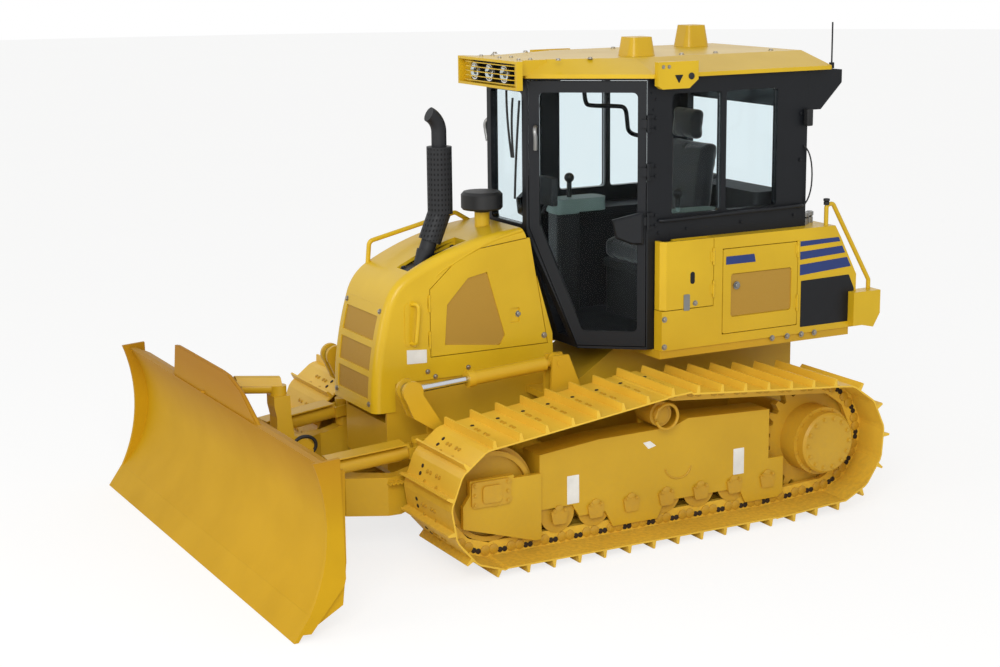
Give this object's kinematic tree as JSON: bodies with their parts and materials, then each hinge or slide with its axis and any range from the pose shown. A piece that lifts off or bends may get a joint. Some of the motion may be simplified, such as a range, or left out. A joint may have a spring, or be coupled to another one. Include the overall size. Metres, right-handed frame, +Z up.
{
  "type": "bulldozer",
  "caption": "Compact crawler dozer with wide tracks, power-angle-tilt blade on a C-frame, sloping hood and glazed cab with opening doors.",
  "frame": {"origin": "on the ground plane under the middle of the machine's overall box, blade down on the ground", "axes": "+X forward to the blade, +Y to the machine's left, +Z up"},
  "size_m": [4.374, 3.25, 2.972],
  "materials": {
    "machine_yellow": "semi-gloss paint",
    "dark_paint": "satin paint",
    "glass": "clear, slightly tinted",
    "chrome_rod": "polished",
    "seat_fabric": "woven",
    "grey_plastic": "matte"
  },
  "bodies": {
    "machine": {"main_frame": "machine_yellow", "engine_block": "dark_paint", "track_frame_left": "machine_yellow", "track_frame_right": "machine_yellow", "idler_left": "machine_yellow", "idler_right": "machine_yellow", "sprocket_left": "machine_yellow", "sprocket_right": "machine_yellow", "rollers_left": "machine_yellow", "rollers_right": "machine_yellow", "track_left": "machine_yellow", "track_right": "machine_yellow", "frame_mounts": "machine_yellow", "deck": "machine_yellow", "hood": "machine_yellow", "nose_grille": "machine_yellow", "exhaust_stack": "dark_paint", "pre_cleaner": "dark_paint", "cab_tub": "dark_paint", "cab_frame": "dark_paint", "cab_glass": "glass", "roof": "machine_yellow", "roof_tail": "dark_paint", "roof_lamps": "machine_yellow", "receivers": "machine_yellow", "whip_antenna": "dark_paint", "seat": "seat_fabric", "seat_base": "grey_plastic", "console_left": "grey_plastic", "console_right": "grey_plastic", "rear_console": "grey_plastic", "rear_body": "machine_yellow", "handrails": "machine_yellow"},
    "c_frame": {"c_frame": "machine_yellow"},
    "blade_swivel": {"blade_swivel": "machine_yellow"},
    "blade": {"blade": "machine_yellow", "cutting_edge": "machine_yellow"},
    "tilt_barrel": {"tilt_barrel": "machine_yellow"},
    "tilt_rod": {"tilt_rod": "chrome_rod"},
    "rear_grille": {"rear_grille": "machine_yellow"},
    "lift_barrel_left": {"lift_barrel_left": "machine_yellow"},
    "lift_rod_left": {"lift_rod_left": "chrome_rod"},
    "angle_yoke_left": {"angle_yoke_left": "machine_yellow"},
    "angle_barrel_left": {"angle_barrel_left": "machine_yellow"},
    "angle_rod_left": {"angle_rod_left": "chrome_rod"},
    "engine_door_left": {"engine_door_left": "machine_yellow"},
    "side_cover_left": {"side_cover_left": "machine_yellow"},
    "service_door_left": {"service_door_left": "machine_yellow"},
    "cab_door_left": {"cab_door_left": "dark_paint", "door_glass_left": "glass"},
    "lift_barrel_right": {"lift_barrel_right": "machine_yellow"},
    "lift_rod_right": {"lift_rod_right": "chrome_rod"},
    "angle_yoke_right": {"angle_yoke_right": "machine_yellow"},
    "angle_barrel_right": {"angle_barrel_right": "machine_yellow"},
    "angle_rod_right": {"angle_rod_right": "chrome_rod"},
    "engine_door_right": {"engine_door_right": "machine_yellow"},
    "side_cover_right": {"side_cover_right": "machine_yellow"},
    "service_door_right": {"service_door_right": "machine_yellow"},
    "cab_door_right": {"cab_door_right": "dark_paint", "door_glass_right": "glass"}
  },
  "joints": [
    {"name": "blade_lift", "type": "hinge", "parent": "machine", "child": "c_frame", "pos_m": [0.42, 0, 0.43], "axis": [0, -1, 0], "range_deg": [-14, 25]},
    {"name": "blade_angle", "type": "hinge", "parent": "c_frame", "child": "blade_swivel", "pos_m": [1.6, 0, 0.46], "axis": [0, 0, 1], "range_deg": [-25, 25]},
    {"name": "blade_tilt", "type": "hinge", "parent": "blade_swivel", "child": "blade", "pos_m": [1.6, 0, 0.46], "axis": [1, 0, 0], "range_deg": [-7, 7]},
    {"name": "lift_barrel_left_pivot", "type": "hinge", "parent": "machine", "child": "lift_barrel_left", "pos_m": [0.03, 0.56, 1.015], "axis": [0, -1, 0], "range_deg": [-9.13, 15.52]},
    {"name": "lift_rod_left_slide", "type": "slide", "parent": "lift_barrel_left", "child": "lift_rod_left", "axis": [0.9981, 0, -0.0611], "range_m": [-0.2605, 0.1476]},
    {"name": "angle_yoke_left_pivot", "type": "hinge", "parent": "c_frame", "child": "angle_yoke_left", "pos_m": [0.96, 0.56, 0.6], "axis": [0, 0, 1], "range_deg": [-5.15, 5.15]},
    {"name": "angle_barrel_left_pivot", "type": "hinge", "parent": "angle_yoke_left", "child": "angle_barrel_left", "pos_m": [0.96, 0.56, 0.6], "axis": [-0.0948, -0.9955, 0], "range_deg": [-4.94, 4.94]},
    {"name": "angle_rod_left_slide", "type": "slide", "parent": "angle_barrel_left", "child": "angle_rod_left", "axis": [0.9911, -0.0944, -0.0944], "range_m": [-0.2173, 0.2173]},
    {"name": "lift_barrel_right_pivot", "type": "hinge", "parent": "machine", "child": "lift_barrel_right", "pos_m": [0.03, -0.56, 1.015], "axis": [0, -1, 0], "range_deg": [-9.13, 15.52]},
    {"name": "lift_rod_right_slide", "type": "slide", "parent": "lift_barrel_right", "child": "lift_rod_right", "axis": [0.9981, 0, -0.0611], "range_m": [-0.2605, 0.1476]},
    {"name": "angle_yoke_right_pivot", "type": "hinge", "parent": "c_frame", "child": "angle_yoke_right", "pos_m": [0.96, -0.56, 0.6], "axis": [0, 0, 1], "range_deg": [-5.15, 5.15]},
    {"name": "angle_barrel_right_pivot", "type": "hinge", "parent": "angle_yoke_right", "child": "angle_barrel_right", "pos_m": [0.96, -0.56, 0.6], "axis": [0.0948, -0.9955, 0], "range_deg": [-4.94, 4.94]},
    {"name": "angle_rod_right_slide", "type": "slide", "parent": "angle_barrel_right", "child": "angle_rod_right", "axis": [0.9911, 0.0944, -0.0944], "range_m": [-0.2173, 0.2173]},
    {"name": "tilt_barrel_pivot", "type": "hinge", "parent": "blade_swivel", "child": "tilt_barrel", "pos_m": [1.6, 0, 0.93], "axis": [0, 0, 1], "range_deg": [-9.94, 9.94]},
    {"name": "tilt_rod_slide", "type": "slide", "parent": "tilt_barrel", "child": "tilt_rod", "axis": [0.8882, -0.4594, 0], "range_m": [-0.029, 0.029]},
    {"name": "engine_door_left_hinge", "type": "hinge", "parent": "machine", "child": "engine_door_left", "pos_m": [0.752, 0.313, 1.3], "axis": [0, 0, 1], "range_deg": [-95, 0]},
    {"name": "cab_door_left_hinge", "type": "hinge", "parent": "machine", "child": "cab_door_left", "pos_m": [-0.51205, 0.71661, 2.134], "axis": [0, 0, -1], "range_deg": [-100, 0]},
    {"name": "side_cover_left_hinge", "type": "hinge", "parent": "machine", "child": "side_cover_left", "pos_m": [-0.939, 0.793, 1.5], "axis": [0, 0, -1], "range_deg": [-95, 0]},
    {"name": "service_door_left_hinge", "type": "hinge", "parent": "machine", "child": "service_door_left", "pos_m": [-1.572, 0.793, 1.42], "axis": [0, 0, -1], "range_deg": [-95, 0]},
    {"name": "engine_door_right_hinge", "type": "hinge", "parent": "machine", "child": "engine_door_right", "pos_m": [0.752, -0.313, 1.3], "axis": [0, 0, -1], "range_deg": [-95, 0]},
    {"name": "cab_door_right_hinge", "type": "hinge", "parent": "machine", "child": "cab_door_right", "pos_m": [-0.51205, -0.71661, 2.134], "axis": [0, 0, 1], "range_deg": [-100, 0]},
    {"name": "side_cover_right_hinge", "type": "hinge", "parent": "machine", "child": "side_cover_right", "pos_m": [-0.939, -0.793, 1.5], "axis": [0, 0, 1], "range_deg": [-95, 0]},
    {"name": "service_door_right_hinge", "type": "hinge", "parent": "machine", "child": "service_door_right", "pos_m": [-1.572, -0.793, 1.42], "axis": [0, 0, 1], "range_deg": [-95, 0]},
    {"name": "rear_grille_hinge", "type": "hinge", "parent": "machine", "child": "rear_grille", "pos_m": [-2.038, 0.522, 1.25], "axis": [0, 0, 1], "range_deg": [-100, 0]}
  ],
  "couplings": [
    {"joint": "lift_barrel_left_pivot", "follows": "blade_lift", "ratio": 0.5806},
    {"joint": "lift_rod_left_slide", "follows": "blade_lift", "m_per_rad": -0.5878},
    {"joint": "angle_yoke_left_pivot", "follows": "blade_angle", "ratio": 0.1661},
    {"joint": "angle_barrel_left_pivot", "follows": "blade_tilt", "ratio": 0.5628},
    {"joint": "angle_rod_left_slide", "follows": "blade_angle", "m_per_rad": -0.4888},
    {"joint": "lift_barrel_right_pivot", "follows": "blade_lift", "ratio": 0.5806},
    {"joint": "lift_rod_right_slide", "follows": "blade_lift", "m_per_rad": -0.5878},
    {"joint": "angle_yoke_right_pivot", "follows": "blade_angle", "ratio": 0.1661},
    {"joint": "angle_barrel_right_pivot", "follows": "blade_tilt", "ratio": -0.5628},
    {"joint": "angle_rod_right_slide", "follows": "blade_angle", "m_per_rad": 0.4888},
    {"joint": "tilt_barrel_pivot", "follows": "blade_tilt", "ratio": -1.2777},
    {"joint": "tilt_rod_slide", "follows": "blade_tilt", "m_per_rad": 0.2132}
  ]
}
